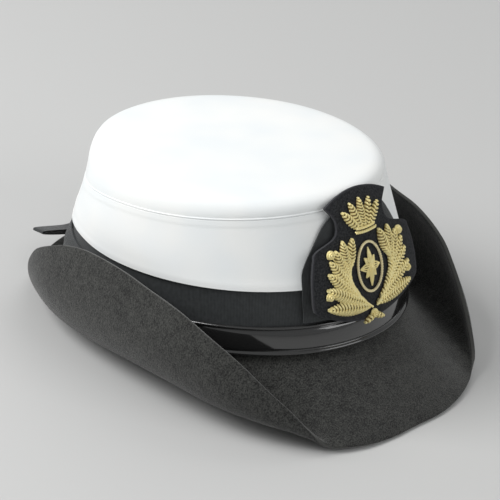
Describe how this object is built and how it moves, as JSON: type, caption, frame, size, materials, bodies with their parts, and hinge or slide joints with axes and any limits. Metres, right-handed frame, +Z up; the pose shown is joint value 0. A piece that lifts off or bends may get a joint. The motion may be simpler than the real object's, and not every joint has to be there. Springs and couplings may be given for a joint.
{
  "type": "women's upturned brim uniform cap",
  "caption": "Black felt cap with turned-up side brim, white cloth crown cover, ribbon band, patent chin strap and gold embroidered badge.",
  "frame": {"origin": "centre of the footprint on the table, at the lowest point of the brim", "axes": "+Z up from the table, -Y towards the front of the cap, +X towards the wearer's left"},
  "size_m": [0.207, 0.2576, 0.1166],
  "materials": {
    "felt": "matt wool felt, faintly fuzzy",
    "cover_cloth": "smooth white twill",
    "piping_cord": "smooth white corded welt",
    "ribbon": "fine ribbed grosgrain",
    "patent_leather": "high gloss patent",
    "badge_felt": "matt stiffened felt",
    "gold_thread": "coiled gilt wire embroidery",
    "bow_ribbon": "fine ribbed grosgrain"
  },
  "bodies": {
    "root": {"felt_body": "felt", "cover_side": "cover_cloth", "cover_piping": "piping_cord", "cover_top": "cover_cloth", "hat_band": "ribbon", "band_peak": "ribbon", "chin_strap": "patent_leather", "badge_patch": "badge_felt", "badge_spray_left": "gold_thread", "badge_spray_right": "gold_thread", "badge_ring": "gold_thread", "badge_star": "gold_thread", "badge_fan": "gold_thread", "badge_tie": "gold_thread", "bow_loops": "bow_ribbon", "bow_knot": "bow_ribbon"}
  },
  "joints": []
}
